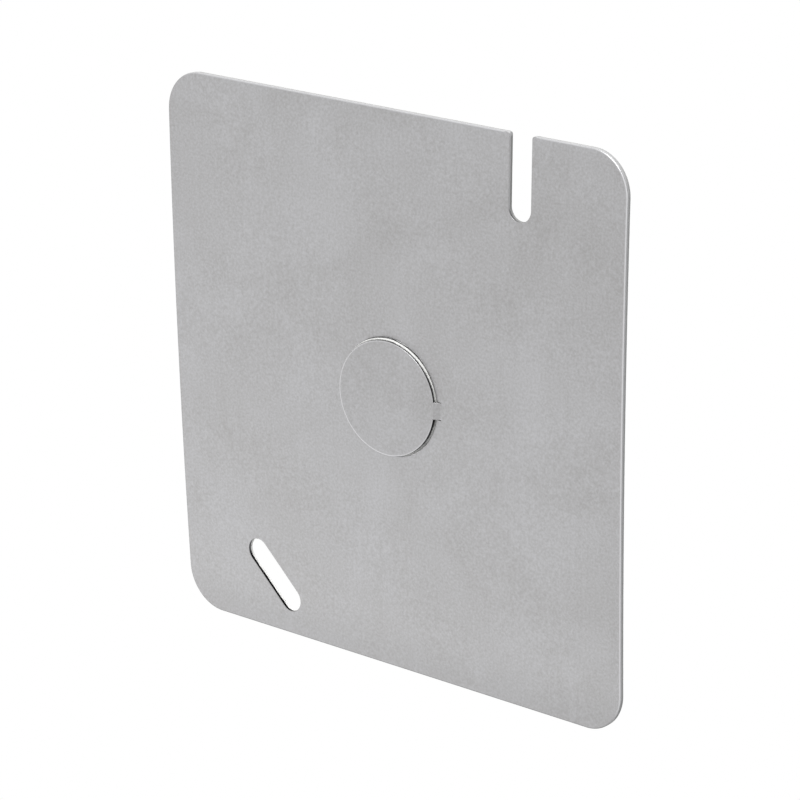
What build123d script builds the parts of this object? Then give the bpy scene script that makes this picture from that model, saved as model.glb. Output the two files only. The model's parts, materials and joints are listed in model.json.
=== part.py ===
from build123d import *
import math
import os

# A flat square cover for a 4 in. square electrical box, with one 1/2 in. knockout.
# Millimetres. The cover stands upright: front faces -Y, +Z is up, +X is to the right seen
# from the front. The origin is on the back face, on the knockout's centre line.

# ---------- sheet ----------
plate_width = 101.6            # 4 in. across
plate_height = 101.6           # 4 in. up
sheet_thickness = 1.0          # 20 gauge galvanised steel
corner_radius = 7.5
plate_centre_z = 0.4           # the square's centre lies this far above the knockout's

# ---------- knockout ----------
hole_diameter = 21.4           # just clears the 21.3 mm thread of a 1/2 in. fitting
slug_clearance = 0.3           # gap between the slug's rim and the hole, each side
slug_proud = 0.55              # how far the slug's face stands out beside the tie
slug_tilt_degrees = 2.8        # swung out about the tie, so its far side stands out more

# ---------- tie that holds the slug ----------
tie_width = 3.1
tie_reach_out = 0.9            # how far the tie's side slits run into the cover
tie_reach_in = 0.6             # how far they run inside the hole's edge, into the slug
tie_slit = 0.1                 # width of each side slit
tie_drop_degrees = 1.7         # the tie sits this far below 3 o'clock, seen from the front

# ---------- screw slots, for No. 8-32 screws, placed from the square's centre ----------
slot_width = 4.76              # 3/16 in.
open_slot_x = 28.6             # 1-1/8 in. right of centre
open_slot_end_z = 38.1         # centre of its round end, 1-1/2 in. above centre
diagonal_slot_x = -29.26       # middle of the closed slot
diagonal_slot_z = -40.34
diagonal_slot_length = 15.3    # over both round ends
diagonal_slot_degrees = 45.0   # its upper end leans to the left, seen from the front

# ---------- worked out from the sizes above ----------
hole_radius = hole_diameter / 2
slug_radius = hole_radius - slug_clearance
front_face_y = -sheet_thickness
slug_back_y = front_face_y + sheet_thickness - slug_proud
slug_front_y = slug_back_y - sheet_thickness
notch_width = tie_width + 2 * tie_slit
tie_outer_x = hole_radius + tie_reach_out
tie_inner_x = hole_radius - tie_reach_in


def flat_piece(sketch, back_y):
    # A sheet piece drawn as seen from the front, with its back face at back_y.
    front = Plane(origin=(0, back_y, 0), x_dir=(1, 0, 0), z_dir=(0, -1, 0))
    return extrude(front * sketch, amount=sheet_thickness)


def open_slot_sketch():
    # Straight sides and a round end, running out through the top edge.
    straight = plate_height / 2 + corner_radius - open_slot_end_z
    sides = Pos(open_slot_x, open_slot_end_z + straight / 2) * Rectangle(slot_width, straight)
    end = Pos(open_slot_x, open_slot_end_z) * Circle(slot_width / 2)
    return sides + end


def diagonal_slot_sketch():
    slot = SlotOverall(diagonal_slot_length, slot_width)
    return Pos(diagonal_slot_x, diagonal_slot_z) * Rot(0, 0, -diagonal_slot_degrees) * slot


def notch_sketch(inner_x, outer_x):
    # The strip freed by the tie's two side slits, drawn with the tie at 3 o'clock.
    middle = (inner_x + outer_x) / 2
    return Pos(middle, 0) * Rectangle(outer_x - inner_x, notch_width)


def swung_out(x, y):
    # A point of the flat slug after the swing about the tie's bend line.
    angle = math.radians(slug_tilt_degrees)
    dx = x - hole_radius
    dy = y - front_face_y
    swung_x = hole_radius + dx * math.cos(angle) - dy * math.sin(angle)
    swung_y = front_face_y + dx * math.sin(angle) + dy * math.cos(angle)
    return (swung_x, swung_y)


def make_cover_plate():
    outline = RectangleRounded(plate_width, plate_height, corner_radius)
    hole = Circle(hole_radius)
    notch = Rot(0, 0, -tie_drop_degrees) * notch_sketch(hole_radius / 2, tie_outer_x)
    square = outline - open_slot_sketch() - diagonal_slot_sketch()
    sketch = Pos(0, plate_centre_z) * square - hole - notch
    return flat_piece(sketch, 0)


def make_knockout_slug():
    sketch = Circle(slug_radius) - notch_sketch(tie_inner_x, hole_radius + tie_width)
    slug = flat_piece(sketch, slug_back_y)
    bend_line = Axis((hole_radius, front_face_y, 0), (0, 0, 1))
    slug = slug.rotate(bend_line, slug_tilt_degrees)
    return slug.rotate(Axis.Y, tie_drop_degrees)


def make_knockout_tie():
    # A strap of the sheet's own thickness: flat in the cover, sloping across the gap,
    # flat again in the slug. Drawn in the XY plane and given its width along Z.
    flat_out = tie_reach_out * 0.5
    flat_in = tie_reach_in * 0.4
    points = [
        (tie_outer_x, 0),
        (tie_outer_x - flat_out, 0),
        swung_out(tie_inner_x + flat_in, slug_back_y),
        swung_out(tie_inner_x, slug_back_y),
        swung_out(tie_inner_x, slug_front_y),
        swung_out(tie_inner_x + flat_in, slug_front_y),
        (tie_outer_x - flat_out, front_face_y),
        (tie_outer_x, front_face_y),
    ]
    profile = make_face(Polyline(*points, close=True))
    strap = extrude(profile, amount=tie_width / 2, both=True)
    return strap.rotate(Axis.Y, tie_drop_degrees)


os.makedirs("parts", exist_ok=True)
export_step(make_cover_plate(), "parts/cover_plate.step")
export_step(make_knockout_slug(), "parts/knockout_slug.step")
export_step(make_knockout_tie(), "parts/knockout_tie.step")
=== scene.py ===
import json
import math

import bpy
import numpy as np
from mathutils.geometry import delaunay_2d_cdt
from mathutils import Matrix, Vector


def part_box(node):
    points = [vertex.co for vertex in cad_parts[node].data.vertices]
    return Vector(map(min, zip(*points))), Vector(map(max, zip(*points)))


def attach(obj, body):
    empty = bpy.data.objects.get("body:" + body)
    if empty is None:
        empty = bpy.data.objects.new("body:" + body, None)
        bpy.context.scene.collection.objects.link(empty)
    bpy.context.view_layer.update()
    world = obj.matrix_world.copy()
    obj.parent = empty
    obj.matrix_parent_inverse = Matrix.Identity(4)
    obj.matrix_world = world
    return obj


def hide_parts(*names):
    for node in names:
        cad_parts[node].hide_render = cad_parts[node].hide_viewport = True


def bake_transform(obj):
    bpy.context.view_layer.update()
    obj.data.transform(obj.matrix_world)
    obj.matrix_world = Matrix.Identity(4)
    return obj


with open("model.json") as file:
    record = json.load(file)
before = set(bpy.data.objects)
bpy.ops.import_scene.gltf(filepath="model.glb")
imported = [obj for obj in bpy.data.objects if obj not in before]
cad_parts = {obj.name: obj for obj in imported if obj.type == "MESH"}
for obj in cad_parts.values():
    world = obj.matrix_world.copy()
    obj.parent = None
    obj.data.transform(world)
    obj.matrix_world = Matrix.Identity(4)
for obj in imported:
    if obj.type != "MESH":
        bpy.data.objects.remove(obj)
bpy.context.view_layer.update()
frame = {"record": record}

mm = 0.001
record = frame["record"]
mounts = {m["name"]: m for m in record["mounts"]}
hinge = record["behaviour"]["joints"][0]
plateLow, plateHigh = (np.array(c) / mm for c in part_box("cover_plate"))
slugLow, slugHigh = (np.array(c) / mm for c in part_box("knockout_slug"))
print("frame loaded")

# the pieces are worked out in millimetres and turned to metres when they go into a mesh
sheet = {
    "halfWidth": (plateHigh[0] - plateLow[0]) / 2,
    "halfHeight": (plateHigh[2] - plateLow[2]) / 2,
    "centreZ": (plateHigh[2] + plateLow[2]) / 2,
    "thickness": plateHigh[1] - plateLow[1],
    "frontY": plateLow[1],
    "cornerRadius": 7.5,
    "bowUp": 0.748,       # top and bottom edges lie this far behind the middle
    "bowAcross": -0.042,
    "twist": 1.035,       # upper right and lower left corners lean back, the others forward
    "gridStep": 2.0,
    "loopStep": 0.35,
    "roll": 0.18,         # the stamped outline's front edge rolls over: how wide, and how deep
    "rollDrop": 0.15,
    "burnish": 0.5,       # share of the cut's depth that is burnished
    "lean": 0.03,         # the torn part leans in this far
    "border": 0.12,       # flat strip beside each roll, up to where the triangles start
    "tearStep": 0.04,     # the tear starts this far behind the burnished part
    "bevel": 0.05,        # the cut's back corner: how wide, and how deep
    "bevelDepth": 0.06,
    "slotRoll": 0.45,     # share of that roll in the open slot, pierced by a close-fitting punch
    "slotBurnish": 0.42,
    "paintedHighlightWay": (0.75, 0.66),   # edges that face this way, up and to the right, get the brightest painted highlight
    "paintedShadeWay": (-0.3, -0.95),    # and this way, the darkest painted shade
}


def sheetBow(points):
    # distance behind the flat sheet: bowUp times height squared, bowAcross times width squared,
    # twist times height times width, each measured as a part of the half size
    across = points[:, 0] / sheet["halfWidth"]
    up = (points[:, 1] - sheet["centreZ"]) / sheet["halfHeight"]
    return sheet["bowUp"] * up**2 + sheet["bowAcross"] * across**2 + sheet["twist"] * across * up


def inSheet(points, depth):
    # a point of the drawing at a depth behind the cover's front face, with the sheet's bow
    return np.stack([points[:, 0], sheet["frontY"] + depth + sheetBow(points), points[:, 1]], 1)


def arcPoints(centre, radius, startDegrees, endDegrees):
    # centre plus radius times cosine and sine of evenly spaced angles
    turn = np.radians(endDegrees - startDegrees)
    count = max(4, int(abs(turn) * radius / 0.12))
    angles = np.radians(startDegrees) + turn * np.linspace(0, 1, count)
    return np.array(centre) + radius * np.stack([np.cos(angles), np.sin(angles)], 1)


def evenLoop(points, step):
    # the same closed line with its points an even distance apart along it
    closed = np.vstack([points, points[:1]])
    reach = np.concatenate([[0], np.cumsum(np.linalg.norm(np.diff(closed, axis=0), axis=1))])
    count = int(round(reach[-1] / step))
    at = np.linspace(0, reach[-1], count, endpoint=False)
    return np.stack([np.interp(at, reach, closed[:, k]) for k in (0, 1)], 1)


def leftNormals(points):
    # each point's unit tangent, from its two neighbours, turned a quarter turn to the left
    along = np.roll(points, -1, 0) - np.roll(points, 1, 0)
    along /= np.linalg.norm(along, axis=1)[:, None]
    return np.stack([-along[:, 1], along[:, 0]], 1)


def turned(points, degrees):
    # points turned about the origin by an angle
    c, s = math.cos(math.radians(degrees)), math.sin(math.radians(degrees))
    return points @ np.array([[c, s], [-s, c]])


def insideLoops(points, loops):
    # even-odd test: counts the loop edges that a line to the right of each point crosses
    crossings = np.zeros(len(points), int)
    for loop in loops:
        a, b = loop, np.roll(loop, -1, 0)
        above = (a[None, :, 1] > points[:, None, 1]) != (b[None, :, 1] > points[:, None, 1])
        rise = np.where(np.abs(b[:, 1] - a[:, 1]) < 1e-12, 1e-12, b[:, 1] - a[:, 1])
        at = a[:, 0] + (points[:, None, 1] - a[:, 1]) * (b[:, 0] - a[:, 0]) / rise
        crossings += (above & (points[:, None, 0] < at)).sum(1)
    return crossings % 2 == 1


def waver(count, cycles, seed):
    # a closed wavy line, from about -1 to 1: a few sine waves of random phase round the loop
    rng = np.random.default_rng(seed)
    around = np.linspace(0, 2 * np.pi, count, endpoint=False)
    waves = [
        np.sin(around * int(cycles * k) + rng.uniform(0, 2 * np.pi)) / k**0.5 for k in (1, 1.7, 2.9, 4.3)
    ]
    return sum(waves) / 2.5


def meshFrom(name, verts, faces, cutDepth, paintedEdgeLight, materialIndex, materials):
    # puts arrays into a mesh object, in metres; each point keeps its depth into the cut and
    # its painted edge light: painted highlight above 0, painted shade below
    mesh = bpy.data.meshes.new(name)
    mesh.from_pydata((verts * mm).tolist(), [], faces)
    for label, values in (("cutDepth", cutDepth), ("paintedEdgeLight", paintedEdgeLight)):
        mesh.attributes.new(label, "FLOAT", "POINT").data.foreach_set("value", values.astype(np.float32))
    for material in materials:
        mesh.materials.append(material)
    mesh.polygons.foreach_set("material_index", np.asarray(materialIndex, np.int32))
    mesh.polygons.foreach_set("use_smooth", np.ones(len(faces), bool))
    mesh.set_sharp_from_angle(angle=math.radians(38))
    mesh.validate()
    mesh.update()
    piece = bpy.data.objects.new(name, mesh)
    bpy.context.scene.collection.objects.link(piece)
    return piece


def stampedSheet(name, edges, thickness, gridStep, materials, placed):
    # A closed sheet. Each edge line has metal on its left. Its profile is carried along the
    # line: flat, rolled over in a quarter ellipse, straight through the burnished part, then
    # leaning in through the torn part to the back. From firstCutRow on, its faces wear the
    # edge's own skin. The flat faces are triangles between the edge lines and a square grid of
    # points. placed() puts each point of the drawing, with its depth behind the front face, in
    # the room.
    verts, cut, paintedLights, faces, skinNumbers, rims, backRims = [], [], [], [], [], [], []
    start = 0
    for edge in edges:
        line, normal = edge["line"], leftNormals(edge["line"])
        count = len(line)
        roll, drop = edge["rollWidth"] * np.ones(count), edge["rollDrop"] * np.ones(count)
        bandWave = waver(count, edge["waves"], edge["seed"])
        tearWave = waver(count, edge["waves"] * 1.3, edge["seed"] + 1)
        burnish = edge["burnish"] * thickness * (1 + 0.12 * bandWave)
        lean = edge["lean"] * (1 + edge["ragged"] * tearWave)
        # each row is its distance in from the line, its depth, its cutDepth and its painted light
        zero, border = np.zeros(count), roll + sheet["border"]
        rows = [(border, zero, 0.0, 0.0)]
        for angle, bright in zip(np.radians((0, 22.5, 45, 67.5, 90)), (0.3, 1, 1, 1, 1)):
            rows.append((roll * (1 - math.sin(angle)), drop * (1 - math.cos(angle)), 0.0, bright))
        rows.append((zero, burnish, 0.45, 0.0))
        rows.append((lean * 0.5, burnish + sheet["tearStep"], 0.5, 0.0))
        rows.append((lean, zero + thickness - sheet["bevelDepth"], 0.94, 0.0))
        rows.append((lean + sheet["bevel"], zero + thickness, 1.0, 0.0))
        rows.append((border, zero + thickness, 0.0, 0.0))
        for inset, depth, cutAt, bright in rows:
            flat = line + normal * inset[:, None]
            verts.append(placed(flat, depth))
            cut.append(np.full(count, cutAt))
            paintedLights.append(bright * edge["paintedEdgeLight"] * np.ones(count))
        here = np.arange(count)
        ahead = (here + 1) % count
        for k in range(len(rows) - 1):
            a, b = start + k * count, start + (k + 1) * count
            faces += np.stack([a + here, b + here, b + ahead, a + ahead], 1).tolist()
            wall = edge["firstCutRow"] <= k <= len(rows) - 3
            skinNumbers += np.broadcast_to(np.where(wall, edge["skin"], zincSkin), count).tolist()
        rims.append((line + normal * rows[0][0][:, None], start))
        backRims.append(start + (len(rows) - 1) * count)
        start += len(rows) * count
    # square grid of points between the rims, none nearer to a rim than a third of a step
    rimLoops = [r for r, _ in rims]
    low, high = rimLoops[0].min(0), rimLoops[0].max(0)
    xs, zs = (np.arange(low[k] + gridStep / 2, high[k], gridStep) for k in (0, 1))
    grid = np.stack(np.meshgrid(xs, zs), -1).reshape(-1, 2)
    grid = grid[insideLoops(grid, rimLoops)]
    allRim = np.vstack(rimLoops)
    nearest = np.sqrt(((grid[:, None] - allRim[None]) ** 2).sum(2)).min(1)
    grid = grid[nearest > gridStep / 3]
    flat = np.vstack([allRim, grid])
    lines, at = [], 0
    for loop in rimLoops:
        lines += [(at + i, at + (i + 1) % len(loop)) for i in range(len(loop))]
        at += len(loop)
    points, _, triangles, origin, _, _ = delaunay_2d_cdt([tuple(p) for p in flat], lines, [], 0, 1e-6, True)
    back = np.array([o[0] for o in origin])
    tris = back[np.array([t for t in triangles])]
    area = np.cross(flat[tris[:, 1]] - flat[tris[:, 0]], flat[tris[:, 2]] - flat[tris[:, 0]])
    tris[area < 0] = tris[area < 0][:, ::-1]
    tris = tris[insideLoops(flat[tris].mean(1), rimLoops) & (np.abs(area) > 1e-9)]
    gridIds = start + np.arange(len(grid))
    frontIds = np.concatenate([s + np.arange(len(r)) for r, s in rims] + [gridIds])
    backIds = [b + np.arange(len(r)) for (r, _), b in zip(rims, backRims)]
    backIds = np.concatenate(backIds + [gridIds + len(grid)])
    for depth in (0, thickness):
        verts.append(placed(grid, depth))
        cut.append(np.zeros(len(grid)))
        paintedLights.append(np.zeros(len(grid)))
    faces += frontIds[tris].tolist() + backIds[tris[:, ::-1]].tolist()
    skinNumbers += [zincSkin] * (2 * len(tris))
    cut, paintedLights = np.concatenate(cut), np.concatenate(paintedLights)
    return meshFrom(name, np.vstack(verts), faces, cut, paintedLights, skinNumbers, materials)


def hexToLinear(text):
    # sRGB hex to linear: v / 12.92 when dark, else ((v + 0.055) / 1.055) to the power 2.4
    values = [int(text[i : i + 2], 16) / 255 for i in (1, 3, 5)]
    return [v / 12.92 if v <= 0.04045 else ((v + 0.055) / 1.055) ** 2.4 for v in values] + [1.0]


def addNode(tree, kind, inputs=None, **settings):
    # one node with its settings; an input is a value, or a socket to link from
    node = tree.nodes.new(kind)
    for key, value in settings.items():
        setattr(node, key, value)
    for key, value in (inputs or {}).items():
        if isinstance(value, bpy.types.NodeSocket):
            tree.links.new(value, node.inputs[key])
        else:
            node.inputs[key].default_value = value
    return node


def newMaterial(name):
    material = bpy.data.materials.new(name)
    material.use_nodes = True
    material.node_tree.nodes.clear()
    return material, material.node_tree


zinc = {
    "dark": "#a4a3a3",
    "light": "#b9b9bb",
    # painted highlight colour for edges that face up and right
    "paintedEdgeLight": "#dedee0",
    # painted shade colour for the bottom of the sheet and for edges that face down
    "paintedShade": "#7e7e7f",
    "paintedShadeBelow": -41.0,   # mm, painted shade darkens the lowest part of the sheet a little
    "paintedShadeShare": 0.16,
    "roughness": 0.38,
    "cloudSize": 20.0,    # mm, drifts of thicker and thinner zinc
    "grainSize": 0.44,    # mm, drawn a little coarser than the real crystals so that it shows
    "streakWidth": 0.5,   # mm, rolling lines that run up the sheet
    "cloudShare": 0.38,   # how much each of the three adds to the tone
    "grainShare": 0.62,
    "streakShare": 0.07,
    "darkTone": 0.39,     # tones that come out fully dark and fully light
    "lightTone": 0.68,
}


def galvanisedSheet():
    # Mild steel sheet, hot-dip galvanised and lightly rolled: dull pale grey metal with faint
    # clouds, a fine grain and hair-thin rolling lines, and no bright crystals. Painted shade
    # darkens its bottom and its edges that face down; a painted highlight brightens its edges
    # that face up and right.
    material, tree = newMaterial("hotDipGalvanisedSheet")
    place = addNode(tree, "ShaderNodeTexCoord").outputs["Object"]
    clouds = addNode(tree, "ShaderNodeTexNoise", {
        "Vector": place, "Scale": 1 / (zinc["cloudSize"] * mm), "Detail": 4.0, "Roughness": 0.6,
        "Distortion": 0.6})
    grain = addNode(tree, "ShaderNodeTexNoise", {
        "Vector": place, "Scale": 1 / (zinc["grainSize"] * mm), "Detail": 3.0, "Roughness": 0.65})
    stretch = addNode(tree, "ShaderNodeMapping", {"Vector": place, "Scale": (1.0, 1.0, 0.035)})
    streaks = addNode(tree, "ShaderNodeTexNoise", {
        "Vector": stretch.outputs[0], "Scale": 1 / (zinc["streakWidth"] * mm), "Detail": 2.0,
        "Roughness": 0.5})
    cloudPart = addNode(tree, "ShaderNodeMath", {
        0: clouds.outputs[0], 1: zinc["cloudShare"]}, operation="MULTIPLY")
    grainPart = addNode(tree, "ShaderNodeMath", {
        0: grain.outputs[0], 1: zinc["grainShare"], 2: cloudPart.outputs[0]}, operation="MULTIPLY_ADD")
    tone = addNode(tree, "ShaderNodeMath", {
        0: streaks.outputs[0], 1: zinc["streakShare"], 2: grainPart.outputs[0]}, operation="MULTIPLY_ADD")
    ramp = addNode(tree, "ShaderNodeMapRange", {
        "Value": tone.outputs[0], "From Min": zinc["darkTone"], "From Max": zinc["lightTone"],
        "To Min": 0.0, "To Max": 1.0})
    coat = addNode(tree, "ShaderNodeMix", {
        0: ramp.outputs[0], 6: hexToLinear(zinc["dark"]), 7: hexToLinear(zinc["light"])}, data_type="RGBA")
    # painted shade, darker towards the bottom edge
    height = addNode(tree, "ShaderNodeSeparateXYZ", {0: place}).outputs["Z"]
    lowPaintedShade = addNode(tree, "ShaderNodeMapRange", {
        "Value": height, "From Min": zinc["paintedShadeBelow"] * mm, "From Max": plateLow[2] * mm,
        "To Min": 0.0, "To Max": zinc["paintedShadeShare"]}, interpolation_type="SMOOTHSTEP")
    # painted edge light from the mesh: above 0 a painted highlight, below 0 painted shade added to the
    # bottom's
    paintedEdgeLight = addNode(tree, "ShaderNodeAttribute", attribute_name="paintedEdgeLight").outputs["Fac"]
    paintedShadePart = addNode(tree, "ShaderNodeMath", {
        0: lowPaintedShade.outputs[0], 1: paintedEdgeLight}, operation="SUBTRACT")
    paintedShade = addNode(tree, "ShaderNodeMix", {
        0: paintedShadePart.outputs[0], 6: coat.outputs[2], 7: hexToLinear(zinc["paintedShade"])}, data_type="RGBA")
    colour = addNode(tree, "ShaderNodeMix", {
        0: paintedEdgeLight, 6: paintedShade.outputs[2], 7: hexToLinear(zinc["paintedEdgeLight"])}, data_type="RGBA")
    rough = addNode(tree, "ShaderNodeMapRange", {
        "Value": clouds.outputs[0], "From Min": 0.3, "From Max": 0.7,
        "To Min": zinc["roughness"] - 0.04, "To Max": zinc["roughness"] + 0.05})
    bump = addNode(tree, "ShaderNodeBump", {
        "Height": grain.outputs[0], "Strength": 0.25, "Distance": 0.03 * mm})
    skin = addNode(tree, "ShaderNodeBsdfPrincipled", {
        "Base Color": colour.outputs[2], "Metallic": 1.0, "Roughness": rough.outputs[0],
        "Normal": bump.outputs[0]})
    addNode(tree, "ShaderNodeOutputMaterial", {"Surface": skin.outputs[0]})
    return material


cuts = {
    # the two bands' colours, with light and shade painted in for each cut, the burnished band's
    # metal and roughness, and the depth at which a burr with its painted shade starts, where 2 is none
    "blankedSheetEdge": {
        "burnishedAsLit": "#b4b4b5", "tornAsLit": "#a2a2a2", "metal": 0.1, "roughness": 0.6, "burr": 2.0},
    "openSlotEdge": {
        "burnishedAsLit": "#b2b2b3", "tornAsLit": "#929291", "metal": 1.0, "roughness": 0.5, "burr": 2.0},
    # knockout and closed slot: near-white painted highlight on the torn band, painted shade in the dark
    # burnished band
    "knockoutShearEdge": {
        "burnishedAsLit": "#505051", "tornAsLit": "#e6e6e4", "metal": 1.0, "roughness": 0.25, "burr": 0.78},
    "closedSlotEdge": {
        "burnishedAsLit": "#4a4a4b", "tornAsLit": "#fafaf8", "metal": 1.0, "roughness": 0.2, "burr": 2.0},
}


def shearedEdge(name):
    # Bare steel where the sheet was cut: a smooth shiny burnished band next to the front, then
    # a matt torn band, then sometimes a burr as shiny as the burnished band and in its colour,
    # which there is painted shade at the back of the cut. Each cut has its own copy, with band
    # colours painted lighter or darker by how the light falls on its walls: painted highlight
    # and painted shade. It gives the eye two or three thin lines of different grey. cutDepth
    # runs from 0 at the front, through a half where the tear starts, to 1 at the back.
    finish = cuts[name]
    material, tree = newMaterial(name)
    depth = addNode(tree, "ShaderNodeAttribute", attribute_name="cutDepth").outputs["Fac"]
    place = addNode(tree, "ShaderNodeTexCoord").outputs["Object"]
    tearing = addNode(tree, "ShaderNodeTexNoise", {"Vector": place, "Scale": 1 / (0.3 * mm), "Detail": 3.0})
    ragged = addNode(tree, "ShaderNodeMath", {
        0: tearing.outputs[0], 1: 0.12, 2: depth}, operation="MULTIPLY_ADD")
    pastShine = addNode(tree, "ShaderNodeMapRange", {
        "Value": ragged.outputs[0], "From Min": 0.5, "From Max": 0.56})
    # past the burr depth the colour goes back to the dark burnished one: painted shade at the back of the
    # cut
    beforeBurrShade = addNode(tree, "ShaderNodeMapRange", {
        "Value": ragged.outputs[0], "From Min": finish["burr"], "From Max": finish["burr"] + 0.1,
        "To Min": 1.0, "To Max": 0.0})
    tornPart = addNode(tree, "ShaderNodeMath", {0: pastShine.outputs[0], 1: beforeBurrShade.outputs[0]},
                       operation="MULTIPLY")
    colour = addNode(tree, "ShaderNodeMix", {
        0: tornPart.outputs[0], 6: hexToLinear(finish["burnishedAsLit"]), 7: hexToLinear(finish["tornAsLit"])},
        data_type="RGBA")
    metal = addNode(tree, "ShaderNodeMapRange", {
        "Value": tornPart.outputs[0], "To Min": finish["metal"], "To Max": 0.1})
    rough = addNode(tree, "ShaderNodeMapRange", {
        "Value": tornPart.outputs[0], "To Min": finish["roughness"], "To Max": 0.8})
    bump = addNode(tree, "ShaderNodeBump", {
        "Height": tearing.outputs[0], "Strength": 0.3, "Distance": 0.02 * mm})
    skin = addNode(tree, "ShaderNodeBsdfPrincipled", {
        "Base Color": colour.outputs[2], "Metallic": metal.outputs[0], "Roughness": rough.outputs[0],
        "Normal": bump.outputs[0]})
    addNode(tree, "ShaderNodeOutputMaterial", {"Surface": skin.outputs[0]})
    return material


skins = [galvanisedSheet()] + [shearedEdge(name) for name in cuts]
zincSkin, blankedCut, openSlotCut, knockoutCut, closedSlotCut = range(len(skins))
print("materials made")

knockout = {
    "radius": mounts["knockout_hole"]["dims"]["r_mm"],
    "tieWidth": 3.1,
    "slit": 0.1,
    "reachOut": 0.9,
    "reachIn": 0.6,
    "tieDrop": math.degrees(math.atan2(hinge["axis"][0], hinge["axis"][2])),
    "slugRadius": (slugHigh[2] - slugLow[2]) / 2,
    "proud": 0.55,        # the slug's face stands out this far beside the tie
    "swing": 2.8,         # degrees the slug is swung out about the tie at rest
    "holeRoll": 0.1,      # how the hole's front edge rolls over, and the slug's
    "holeRollDrop": 0.06,
    "slugRoll": 0.16,
    "slugRollDrop": 0.1,
    "drawnIn": 0.12,      # the shear drew the slug's front rim in a little on the tie's side
    "burr": 0.25,         # the slug's burr flares this much at its back edge,
    "farBurr": 0.12,      # and this much more on the far side, where it is clear of the hole
}
slots = {
    "halfWidth": mounts["screw_slot_open"]["dims"]["hole_r_mm"],
    "openX": mounts["screw_slot_open"]["pos_m"][0] / mm,
    "openEndZ": plateHigh[2] - mounts["screw_slot_open"]["dims"]["slot_length_mm"]
    + mounts["screw_slot_open"]["dims"]["hole_r_mm"],
    "mouthRadius": 0.45,  # the slot's two corners at the top edge are just broken
    "diagonal": [mounts["screw_slot_diagonal"]["pos_m"][k] / mm for k in (0, 2)],
    "diagonalLength": mounts["screw_slot_diagonal"]["dims"]["slot_length_mm"],
    "diagonalDegrees": -45.0,
}


def outerLine():
    # the square with round corners, anticlockwise seen from the front, dipping into the open slot
    w, h, r = sheet["halfWidth"], sheet["halfHeight"], sheet["cornerRadius"]
    x, half, m = slots["openX"], slots["halfWidth"], slots["mouthRadius"]
    end = slots["openEndZ"] - sheet["centreZ"]
    return np.array([0, sheet["centreZ"]]) + np.vstack([
        arcPoints((w - r, h - r), r, 0, 90),
        arcPoints((x + half + m, h - m), m, 90, 180),
        arcPoints((x, end), half, 360, 180),
        arcPoints((x - half - m, h - m), m, 0, 90),
        arcPoints((r - w, h - r), r, 90, 180),
        arcPoints((r - w, r - h), r, 180, 270),
        arcPoints((w - r, r - h), r, 270, 360),
    ])


def holeLine():
    # the knockout hole, clockwise, with the tie's notch cut into its edge
    radius = knockout["radius"]
    half = knockout["tieWidth"] / 2 + knockout["slit"]
    out = radius + knockout["reachOut"]
    opening = math.degrees(math.asin(half / radius))
    line = np.vstack([
        arcPoints((0, 0), radius, 360 - opening, opening),
        [(out, half), (out, -half)],
    ])
    return turned(line, -knockout["tieDrop"])


def diagonalLine():
    # a slot with round ends, clockwise, turned to its slope
    half = slots["halfWidth"]
    reach = slots["diagonalLength"] / 2 - half
    line = np.vstack([arcPoints((reach, 0), half, 90, -90), arcPoints((-reach, 0), half, 270, 90)])
    return turned(line, slots["diagonalDegrees"]) + np.array(slots["diagonal"])


outer = evenLoop(outerLine(), sheet["loopStep"])
hole = evenLoop(holeLine(), sheet["loopStep"] * 0.6)
diagonal = evenLoop(diagonalLine(), sheet["loopStep"] * 0.8)

# painted highlight where the edge faces up or right, painted shade (below 0) where it faces
# down; the open slot's walls are pierced, not blanked
outwards = -leftNormals(outer)
outerPaintedLight = np.clip(outwards @ np.array(sheet["paintedHighlightWay"]), 0, 1)
outerPaintedLight -= 0.8 * np.clip(outwards @ np.array(sheet["paintedShadeWay"]), 0, 1)
inSlot = (np.abs(outer[:, 0] - slots["openX"]) < slots["halfWidth"] + 0.05) & (outer[:, 1] > 0)
inSlot &= outer[:, 1] < plateHigh[2] - 1.0
fromSlot = np.where(outer[:, 1] > 0, np.abs(outer[:, 0] - slots["openX"]) - slots["halfWidth"], 9)
outerPaintedLight[fromSlot < 0.8] = 0
outerRoll = np.interp(fromSlot, (0.4, 1.4), (sheet["slotRoll"], 1.0))

# the roll fades out in the tie's notch, so that the tie runs on from the sheet unbroken
fromCentre = np.linalg.norm(hole, axis=1)
holeRoll = np.clip((knockout["radius"] + 0.25 - fromCentre) / 0.25, 0.15, 1)
# it is sharper below the tie, where the punch met the sheet last
holeAngle = np.degrees(np.arctan2(hole[:, 1], hole[:, 0]))
holeRoll *= np.interp(holeAngle, (-110, -85, -8, 0), (1, 0.3, 0.3, 1))
coverSheet = stampedSheet("coverSheet", [
    {"line": outer, "rollWidth": sheet["roll"] * outerRoll, "rollDrop": sheet["rollDrop"] * outerRoll,
     "burnish": np.where(inSlot, sheet["slotBurnish"], sheet["burnish"]), "lean": sheet["lean"],
     "ragged": 0.35, "waves": 60, "seed": 3, "paintedEdgeLight": outerPaintedLight,
     "skin": np.where(inSlot, openSlotCut, blankedCut), "firstCutRow": 5},
    {"line": hole, "rollWidth": knockout["holeRoll"] * holeRoll,
     "rollDrop": knockout["holeRollDrop"] * holeRoll, "burnish": 0.4, "lean": 0.04,
     "ragged": 0.35, "waves": 11, "seed": 5, "paintedEdgeLight": 0, "skin": knockoutCut, "firstCutRow": 5},
    {"line": diagonal, "rollWidth": 0.1, "rollDrop": 0.05, "burnish": 0.5, "lean": 0.05,
     "ragged": 0.35, "waves": 7, "seed": 7, "paintedEdgeLight": 0, "skin": closedSlotCut, "firstCutRow": 3},
], sheet["thickness"], sheet["gridStep"], skins, inSheet)
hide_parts("cover_plate")
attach(coverSheet, "cover")
print("cover sheet made")


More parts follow.
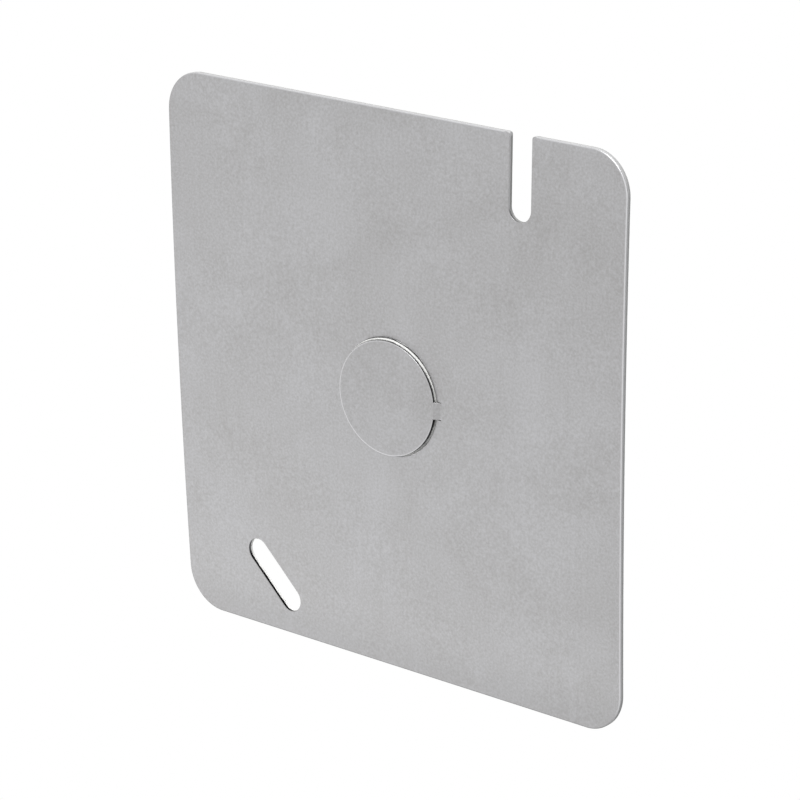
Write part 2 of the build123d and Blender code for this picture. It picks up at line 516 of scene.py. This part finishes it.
def inSlug(points, depth):
    # A point of the slug's drawing: moved out by proud, then turned by the swing about the bend
    # line, which runs across the tie at the hole's edge, level with the cover's front.
    angle = math.radians(knockout["swing"])
    local = turned(points, knockout["tieDrop"])
    reach = local[:, 0] - knockout["radius"]
    level = depth - knockout["proud"]
    across = knockout["radius"] + reach * math.cos(angle) - level * math.sin(angle)
    flat = turned(np.stack([across, local[:, 1]], 1), -knockout["tieDrop"])
    y = sheet["frontY"] + reach * math.sin(angle) + level * math.cos(angle) + sheetBow(points)
    return np.stack([flat[:, 0], y, flat[:, 1]], 1)


def slugLine():
    # the slug's rim, anticlockwise, with the tie's notch cut into it
    radius = knockout["slugRadius"]
    half = knockout["tieWidth"] / 2 + knockout["slit"]
    inner = knockout["radius"] - knockout["reachIn"]
    opening = math.degrees(math.asin(half / radius))
    line = np.vstack([arcPoints((0, 0), radius, opening, 360 - opening), [(inner, -half), (inner, half)]])
    return turned(line, -knockout["tieDrop"])


rim = evenLoop(slugLine(), sheet["loopStep"] * 0.6)
rimAngle = np.degrees(np.arctan2(rim[:, 1], rim[:, 0]))
drawnIn = knockout["drawnIn"] * np.interp(np.abs(rimAngle), (50, 85), (1, 0))
onRim = np.linalg.norm(rim, axis=1) > knockout["slugRadius"] - 0.05
rim = rim * (1 - onRim * drawnIn / knockout["slugRadius"])[:, None]
rimRoll = np.where(onRim, 1.0, 0.15)
# the rim's roll gets a painted highlight, brightest at the lower left, least at the upper right
rimPaintedLight = 0.7 + 0.45 * np.cos(np.arctan2(rim[:, 1], rim[:, 0]) - math.radians(215))
farSide = np.interp(rimAngle, (-92, -82, 72, 84), (1, 0, 0, 1))
rimLean = -knockout["burr"] - drawnIn - knockout["farBurr"] * farSide
# the burnished part is deepest below the tie, where its dark colour is painted shade on the wall that faces
# down and away from the light
rimBurnish = np.interp(rimAngle, (-120, -100, -6, -2, 30, 50), (0.3, 0.75, 0.75, 0.5, 0.42, 0.3))
slug = stampedSheet("knockoutSlug", [
    {"line": rim, "rollWidth": knockout["slugRoll"] * rimRoll,
     "rollDrop": knockout["slugRollDrop"] * rimRoll, "burnish": rimBurnish, "lean": rimLean,
     "ragged": 0.1, "waves": 11, "seed": 9, "paintedEdgeLight": rimPaintedLight, "skin": knockoutCut, "firstCutRow": 5},
], sheet["thickness"], sheet["gridStep"] * 0.6, skins, inSlug)
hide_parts("knockout_slug")
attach(slug, "slug")
print("knockout slug made")

tie = {
    "outer": knockout["radius"] + knockout["reachOut"],
    "inner": knockout["radius"] - knockout["reachIn"],
    "rampOuter": knockout["radius"] + 0.7,    # the bend runs from here
    "rampInner": knockout["radius"] - 0.55,   # to here
    "rows": 40,
    "roll": 0.1,
}


def tieStrap():
    # A strap that steps from the cover's level to the slug's. Along it, its level goes by a
    # smooth step from the cover's plane to the slug's sloping one; across it, the section is a
    # rectangle with a small roll at its front corners.
    along = np.linspace(tie["outer"], tie["inner"], tie["rows"])
    step = np.clip((tie["rampOuter"] - along) / (tie["rampOuter"] - tie["rampInner"]), 0, 1)
    step = step**2 * (3 - 2 * step)
    angle = math.radians(knockout["swing"])
    slugLevel = (along - knockout["radius"]) * math.tan(angle) - knockout["proud"] / math.cos(angle)
    level = sheet["frontY"] + slugLevel * step
    half, thick, roll = knockout["tieWidth"] / 2, sheet["thickness"], tie["roll"]
    quarter = np.radians([0, 30, 60, 90])
    left = np.stack([-half + roll * (1 - np.cos(quarter)), roll * (1 - np.sin(quarter))], 1)
    middle = np.stack([np.linspace(-half + 2 * roll, half - 2 * roll, 9), np.zeros(9)], 1)
    right = left[::-1] * (-1, 1)
    back = [(half, thick * 0.5), (half, thick), (-half, thick), (-half, thick * 0.5)]
    section = np.vstack([left, middle, right, back])
    x = along[:, None] + step[:, None] * (knockout["proud"] - section[None, :, 1]) * math.sin(angle)
    z = 0 * along[:, None] + section[None, :, 0]
    flat = turned(np.stack([x.ravel(), z.ravel()], 1), -knockout["tieDrop"])
    y = (level[:, None] + section[None, :, 1]).ravel() + sheetBow(flat)
    verts = np.stack([flat[:, 0], y, flat[:, 1]], 1)
    n = len(section)
    i, j = np.meshgrid(np.arange(tie["rows"] - 1), np.arange(n), indexing="ij")
    a, b = (i * n + j).ravel(), (i * n + (j + 1) % n).ravel()
    quads = np.stack([a, b, b + n, a + n], 1)
    caps = [list(range(n))[::-1], list(range((tie["rows"] - 1) * n, tie["rows"] * n))]
    depth = np.tile(np.clip(section[:, 1] / thick, 0, 1), tie["rows"])
    # the strap's two sheared sides are the faces before and after the back one
    sides = np.isin(j.ravel(), [n - 5, n - 4, n - 2, n - 1])
    skinNumbers = np.where(sides, knockoutCut, zincSkin).tolist() + [zincSkin, zincSkin]
    return meshFrom("knockoutTie", verts, quads.tolist() + caps, depth, 0 * depth, skinNumbers, skins)


strap = tieStrap()
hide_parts("knockout_tie")
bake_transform(strap)
print("knockout tie made")

# the room's sizes and places are in metres
studio = {
    "floorDrop": 0.6,       # floor this far below the middle of the knockout
    "floorSize": 14.0,
    "fillAbove": 1.3,       # the room's light on dull surfaces, from above and from below
    "fillBelow": 0.02,
    "darkWay": (0.31, 0.715, 0.627),   # the dim part of the room, high up behind
    "darkness": 0.92,
    "lamps": [              # name, place, size and power of each, all facing the middle
        ("topSoftbox", (0.3, -0.12, 0.95), 0.6, 7.5),
        ("lowLeftSoftbox", (-0.6, -0.4, -0.5), 0.4, 0.3),
        ("leftSoftbox", (-0.32, -0.22, -0.02), 0.2, 0.015),
    ],
}


def makeWorld():
    # white room: plain white to the camera, and in reflections but for one dim part up behind;
    # dull surfaces are lit by the fill, which is stronger from above
    world = bpy.data.worlds.new("whiteRoom")
    bpy.context.scene.world = world
    world.use_nodes = True
    tree = world.node_tree
    tree.nodes.clear()
    rays = addNode(tree, "ShaderNodeLightPath")
    way = addNode(tree, "ShaderNodeTexCoord").outputs["Generated"]
    towards = addNode(tree, "ShaderNodeVectorMath", {0: way, 1: studio["darkWay"]}, operation="DOT_PRODUCT")
    dim = addNode(tree, "ShaderNodeMapRange", {
        "Value": towards.outputs["Value"], "From Min": 0.5, "From Max": 0.85,
        "To Min": 0.0, "To Max": studio["darkness"]}, interpolation_type="SMOOTHSTEP")
    dimSeen = addNode(tree, "ShaderNodeMath", {
        0: dim.outputs[0], 1: rays.outputs["Is Glossy Ray"]}, operation="MULTIPLY")
    seen = addNode(tree, "ShaderNodeMath", {0: 1.0, 1: dimSeen.outputs[0]}, operation="SUBTRACT")
    white = addNode(tree, "ShaderNodeBackground", {"Strength": seen.outputs[0]})
    white.inputs["Color"].default_value = (1, 1, 1, 1)
    height = addNode(tree, "ShaderNodeSeparateXYZ", {0: way}).outputs["Z"]
    topHeavy = addNode(tree, "ShaderNodeMapRange", {
        "Value": height, "From Min": 0.05, "From Max": 0.75,
        "To Min": studio["fillBelow"], "To Max": studio["fillAbove"]}, interpolation_type="SMOOTHSTEP")
    fill = addNode(tree, "ShaderNodeBackground", {"Strength": topHeavy.outputs[0]})
    fill.inputs["Color"].default_value = (1, 1, 1, 1)
    first = addNode(tree, "ShaderNodeMath", {
        0: rays.outputs["Is Camera Ray"], 1: rays.outputs["Is Glossy Ray"]}, operation="MAXIMUM")
    straight = addNode(tree, "ShaderNodeMath", {
        0: first.outputs[0], 1: rays.outputs["Is Transmission Ray"]}, operation="MAXIMUM")
    both = addNode(tree, "ShaderNodeMixShader", {
        0: straight.outputs[0], 1: fill.outputs[0], 2: white.outputs[0]})
    addNode(tree, "ShaderNodeOutputWorld", {"Surface": both.outputs[0]})


def makeFloor():
    # pale matt floor that is plain white to the camera and in reflections
    material, tree = newMaterial("paleFloorPaint")
    rays = addNode(tree, "ShaderNodeLightPath")
    paint = addNode(tree, "ShaderNodeBsdfDiffuse", {"Color": hexToLinear("#a0a0a0")})
    glow = addNode(tree, "ShaderNodeEmission", {"Color": (1, 1, 1, 1), "Strength": 1.0})
    seen = addNode(tree, "ShaderNodeMath", {
        0: rays.outputs["Is Camera Ray"], 1: rays.outputs["Is Glossy Ray"]}, operation="MAXIMUM")
    both = addNode(tree, "ShaderNodeMixShader", {
        0: seen.outputs[0], 1: paint.outputs[0], 2: glow.outputs[0]})
    addNode(tree, "ShaderNodeOutputMaterial", {"Surface": both.outputs[0]})
    half = studio["floorSize"] / 2
    mesh = bpy.data.meshes.new("floor")
    corners = [(-half, -half), (half, -half), (half, half), (-half, half)]
    mesh.from_pydata([(x, y, -studio["floorDrop"]) for x, y in corners], [], [(0, 1, 2, 3)])
    mesh.materials.append(material)
    floor = bpy.data.objects.new("floor", mesh)
    bpy.context.scene.collection.objects.link(floor)


def addLamp(name, place, size, power):
    # a square softbox at place, facing the middle of the room
    lamp = bpy.data.lights.new(name, "AREA")
    lamp.size = size
    lamp.energy = power
    holder = bpy.data.objects.new(name, lamp)
    bpy.context.scene.collection.objects.link(holder)
    holder.location = place
    way = -np.array(place) / np.linalg.norm(place)
    holder.rotation_euler = (math.acos(-way[2]), 0, math.atan2(-way[0], way[1]))


makeWorld()
makeFloor()
for lamp in studio["lamps"]:
    addLamp(*lamp)
print("room and lamps made")

cameraSettings = {
    "place": (0.45908, -0.52321, 0.22802),
    "turnDegrees": (71.8008, 0.8800, 40.8892),
    "lens": 190.28,
}
camera = bpy.data.cameras.new("camera")
camera.lens = cameraSettings["lens"]
camera.sensor_width = 36.0
camera.clip_start = 0.05
cameraHolder = bpy.data.objects.new("camera", camera)
cameraHolder.location = cameraSettings["place"]
cameraHolder.rotation_euler = [math.radians(a) for a in cameraSettings["turnDegrees"]]
bpy.context.scene.collection.objects.link(cameraHolder)
bpy.context.scene.camera = cameraHolder
bpy.context.scene.view_settings.view_transform = "Standard"
print("camera set")
